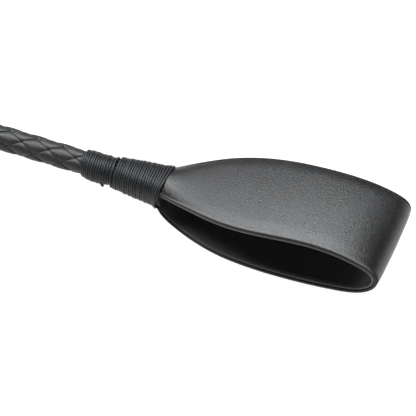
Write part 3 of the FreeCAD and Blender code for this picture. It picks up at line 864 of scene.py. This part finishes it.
def ply_grid(depth, thickness, proud, recess, outer_corner, inner_corner):
    """Points of one ply from its upper tail round the fold to its lower tail: line + inward * sink, and y.

    Sink is the depth in the strap plus cup * across ** 2, crown and roll; across is 1 at the strap's edges.
    """
    line, inward, progress = keeper_line(KEEPER_ROWS)
    reach = line[:, 0]
    upper = np.clip((UPPER_UNTIL - progress) / UPPER_FADE, 0, 1)
    half = ply_half_width(reach, progress, upper, proud, recess)
    share, beyond, within = ply_section(thickness, outer_corner, inner_corner)
    flat_half = half[:, None] - max(outer_corner, inner_corner)
    y = share[None, :] * flat_half + beyond[None, :]
    across = np.abs(y) / half[:, None]
    cup_depth, cup_reach = np.where(progress > 0.5, LOWER_CUP, UPPER_CUP)
    cup = cup_depth * (1 - np.clip(reach / cup_reach, 0, 1)) ** 2
    crown = CROWN * np.clip(reach / CROWN_REACH, 0, 1) * upper
    roll = (EDGE_ROLL * (reach > 0) * upper)[:, None]
    rolled = roll * np.clip((np.abs(y) - (half[:, None] - ROLL_WIDTH)) / ROLL_WIDTH, 0, 1) ** 2
    skived = SKIVED + (1 - SKIVED) * np.clip(reach / SKIVED_REACH, 0, 1)[:, None]
    bowed = cup[:, None] * across ** 2 + crown[:, None] * (across ** 2 - CROWN_LEVEL)
    bowed = bowed + rolled - ROLL_LEVEL * roll
    sink = (depth + within[None, :]) * skived + bowed
    fold = np.clip((reach - FOLD_FROM) / FOLD_LENGTH, 0, 1)
    skew = (fold * fold * (3 - 2 * fold))[:, None] * (FOLD_REACH + FOLD_SKEW * y / half[:, None])
    x = mouth + reach[:, None] + inward[:, :1] * sink + skew
    z = line[:, 1:] + inward[:, 1:] * sink
    return np.stack([x, y, z], -1)


# %% [markdown]
# ## The two plies
# The outer ply is painted on its cut edge. The lining stands a hair proud of it along the upper leg and is
# trimmed back on the lower one, so that a paler line shows between the two: the lining's rounded edge catches
# the light, and its colour is painted paler as a highlight.

# %% Keeper plies
def edge_columns_of_ply():
    """1 for the columns of faces on a ply's two cut edges, from the last point of a face to the next face."""
    half_ring = FACE_POINTS + 2 * CORNER_POINTS
    on_edge = np.zeros(2 * half_ring, np.int32)
    on_edge[FACE_POINTS - 1:half_ring] = 1
    on_edge[half_ring + FACE_POINTS - 1:] = 1
    return on_edge


def keeper_ply(name, grid, materials, nodes):
    """One ply of the folded strap as one piece in the model's frame, in place of the design's solids."""
    piece = surface(name, [grid], materials, widths=grid[KEEPER_ROWS // 2, :, 1],
                    edge_columns=edge_columns_of_ply())
    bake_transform(piece)
    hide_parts(*nodes)
    return piece


outer_grid = ply_grid(depth=0.0, thickness=OUTER_PLY, proud=0.0, recess=0.0,
                      outer_corner=0.2 * MM, inner_corner=0.1 * MM)
keeper_ply("keeper_outer_ply", outer_grid, (keeper_leather, edge_paint),
           ("keeper_outer", "keeper_outer_tail_upper", "keeper_outer_tail_lower"))
PLY_GAP = 0.02 * MM
lining_grid = ply_grid(depth=OUTER_PLY + PLY_GAP, thickness=LINING_PLY, proud=0.25 * MM, recess=0.6 * MM,
                       outer_corner=0.45 * MM, inner_corner=0.3 * MM)
# The lining's edges take the paler colour that paints their highlight.
keeper_ply("keeper_lining_ply", lining_grid, (lining_leather, burnished_edge_highlight),
           ("keeper_lining", "keeper_lining_tail_upper", "keeper_lining_tail_lower"))

# %% [markdown]
# ## The wrist strap
# The strap is one endless band: it turns round the pin inside the cap, runs out of the slot as two legs,
# and opens into the loop for the wrist. Seen from above, each end is half a teardrop and its mirror
# image: the leg bends outward on one arc, and a larger or smaller arc that touches it closes the round
# end.

# %% Teardrop path
LEG = 1.1 * MM                              # from the middle line to a leg's middle
WRIST_LEG, WRIST_BEND, WRIST_RADIUS = 46 * MM, 70 * MM, 27 * MM
PIN_LEG, PIN_BEND, PIN_RADIUS = 3 * MM, 4 * MM, 2.35 * MM


def half_teardrop(straight_end, bend, loop, count):
    """Upper half of a teardrop that opens along +x: leg, outward bend and half the round end.

    The two arcs touch where their centres lie bend + loop apart, so reach is the root of
    (bend + loop) ** 2 - rise ** 2.
    """
    rise = LEG + bend
    reach = math.sqrt((bend + loop) ** 2 - rise ** 2)
    swing = math.atan2(reach, rise)
    turn = np.linspace(0, swing, count)
    outward = np.stack([straight_end + bend * np.sin(turn), rise - bend * np.cos(turn)], -1)
    touch = math.atan2(rise, -reach)
    turn = np.linspace(touch, 0, 2 * count)[1:]
    round_end = np.stack([straight_end + reach + loop * np.cos(turn), loop * np.sin(turn)], -1)
    return np.concatenate([outward, round_end])


def strap_line():
    """The whole closed band seen from above, in order round it."""
    wrist = half_teardrop(WRIST_LEG, WRIST_BEND, WRIST_RADIUS, 40) * np.array([-1, 1])
    pin = half_teardrop(PIN_LEG, PIN_BEND, PIN_RADIUS, 16)
    leg_x = np.linspace(-(WRIST_LEG - 1 * MM), PIN_LEG - 1 * MM, 40)
    leg = np.stack([leg_x, np.full(len(leg_x), LEG)], -1)
    upper = np.concatenate([wrist[::-1], leg, pin])
    lower = upper[::-1][1:-1] * np.array([1, -1])
    return np.concatenate([upper, lower])


# %% [markdown]
# The band's section has a shallow crease along both edges of each face, pressed in with a hot iron.

# %% Creased section
BAND_CORNER = 0.5 * MM
CREASE_IN, CREASE_DEPTH, CREASE_SPREAD = 1.3 * MM, 0.14 * MM, 0.28 * MM


def strap_section(thickness, width):
    """Rounded band section with creases, as distances out of the band's middle face and up it."""
    half = width / 2 - BAND_CORNER
    up = np.linspace(-half, half, 31)
    from_crease = (np.abs(up) - (width / 2 - CREASE_IN)) / CREASE_SPREAD
    face = thickness / 2 - CREASE_DEPTH * np.exp(-from_crease ** 2)
    bend = np.linspace(0, math.pi / 2, CORNER_POINTS)[1:-1]
    round_out = (thickness / 2 - BAND_CORNER) + BAND_CORNER * np.cos(bend)
    round_up = half + BAND_CORNER * np.sin(bend)
    top = np.array([thickness / 2 - BAND_CORNER, -(thickness / 2 - BAND_CORNER)])
    out = np.concatenate([face, round_out, top, -round_out[::-1], -face, -round_out, -top, round_out[::-1]])
    height = np.concatenate([up, round_up, [width / 2] * 2, round_up[::-1],
                             -up, -round_up, [-width / 2] * 2, -round_up[::-1]])
    return out, height


# %% [markdown]
# The band is the section carried round the path, standing upright. Its cut edges are painted like the
# keeper's.

# %% Wrist strap
STRAP_THICK, STRAP_WIDE = 2.0 * MM, 10.0 * MM
STRAP_EDGE = 0.45 * MM
line = strap_line()
ahead = np.roll(line, -1, 0) - np.roll(line, 1, 0)
ahead /= np.linalg.norm(ahead, axis=1, keepdims=True)
side = np.stack([ahead[:, 1], -ahead[:, 0]], -1)
out, up = strap_section(STRAP_THICK, STRAP_WIDE)
flat = line[:, None] + side[:, None] * out[None, :, None]
grid = np.concatenate([flat, np.broadcast_to(up[None, :, None], flat.shape[:2] + (1,))], -1)
on_edge = (np.abs(up) > STRAP_WIDE / 2 - STRAP_EDGE).astype(np.int32)
strap = surface("wrist_strap_band", [grid], (strap_leather, edge_paint), widths=up, wrap_along=True,
                edge_columns=on_edge)
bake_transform(strap)
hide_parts("wrist_strap", "strap_anchor")

# %% [markdown]
# ## Sliding ring
# A short leather ring slides on the two legs and draws the loop up to the wrist. It is a strip bent round
# them and joined end to end, so its outline is a rounded rectangle and its section is the strap's own,
# turned along X.

# %% Sliding ring
RING_WALL = 1.6 * MM
RING_POINTS = 96
RING_POWER = 5.0
RING_EDGE = 3.1 * MM                        # from the ring's middle to its painted rims
slider_low, slider_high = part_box("strap_slider")


def rounded_loop(half_y, half_z):
    """Superellipse |y / half_y| ** power + |z / half_z| ** power = 1 across X, and outward directions."""
    turn = (np.arange(RING_POINTS) + 0.5) * 2 * math.pi / RING_POINTS
    toward = np.stack([np.cos(turn), np.sin(turn)], -1)
    squared = np.abs(toward[:, 0] / half_y) ** RING_POWER + np.abs(toward[:, 1] / half_z) ** RING_POWER
    points = toward * (squared ** (-1 / RING_POWER))[:, None]
    tangent = np.roll(points, -1, 0) - np.roll(points, 1, 0)
    tangent /= np.linalg.norm(tangent, axis=1, keepdims=True)
    return points, np.stack([tangent[:, 1], -tangent[:, 0]], -1)


middle, outwards = rounded_loop(slider_high.y - RING_WALL / 2, slider_high.z - RING_WALL / 2)
out, run = strap_section(RING_WALL, slider_high.x - slider_low.x)
around = middle[:, None] + outwards[:, None] * out[None, :, None]
ring_x = np.broadcast_to(((slider_low.x + slider_high.x) / 2 + run)[None, :, None], around.shape[:2] + (1,))
ring_piece = surface("strap_ring", [np.concatenate([ring_x, around], -1)], (strap_leather, edge_paint),
                     widths=run, wrap_along=True, edge_columns=(np.abs(run) > RING_EDGE).astype(np.int32))
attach(ring_piece, "slider")
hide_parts("strap_slider")

# %% [markdown]
# ## Pieces kept from the design
# The turned cap, its pin and the hidden core need no new shape, only their finishes. The handle's core is
# wood and the rod is glass fibre; both show only if the part is cut open.

# %% Finishes on the design's own solids
def refinish(node, material):
    """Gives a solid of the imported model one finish, and leaves its shape and place alone."""
    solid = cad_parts[node]
    solid.data.materials.clear()
    solid.data.materials.append(material)


plain_wood = leather("handle_core", (0.32, 0.22, 0.13), sheen_roughness=0.6, grain_scale=300.0,
                     grain_depth=0.1 * MM)
fibreglass = leather("fibreglass", (0.62, 0.6, 0.5), sheen_roughness=0.35, grain_scale=500.0,
                     grain_depth=0.02 * MM, mottle=0.08)
for node, material in (("butt_cap", cap_finish), ("cap_pin", pin_finish), ("core_rod", fibreglass),
                       ("grip_core", plain_wood), ("shaft_underlay", packing_leather),
                       ("neck_packing", packing_leather)):
    refinish(node, material)
    print(node, material.name)

# %% [markdown]
# ## Table
# The crop lies on a light table: a dull grey sheet that glows nearly white by itself, so that hardly a
# shadow shows on it. The table is stage only and is no part of the crop.

# %% Table
FLOOR_HALF = 6.0                            # metres
FLOOR_DARK, FLOOR_LIGHT = (0.13, 0.13, 0.13, 1), (0.15, 0.15, 0.15, 1)
FLOOR_GLOW = 0.98
floor_finish = Finish("floor")
speckle = floor_finish.noise(floor_finish.place(), 40.0, 3.0)
floor_finish.set(Base_Color=floor_finish.blend(speckle, FLOOR_DARK, FLOOR_LIGHT), Roughness=0.7,
                 Emission_Color=(1, 1, 1, 1), Emission_Strength=FLOOR_GLOW)
floor_mesh = bpy.data.meshes.new("floor")
corners = [(x * FLOOR_HALF, y * FLOOR_HALF, floor_height) for x, y in ((-1, -1), (1, -1), (1, 1), (-1, 1))]
floor_mesh.from_pydata(corners, [], [(0, 1, 2, 3)])
floor_mesh.materials.append(floor_finish.material)
floor = bpy.data.objects.new("floor", floor_mesh)
bpy.context.scene.collection.objects.link(floor)
print("table at", round(floor_height, 4))
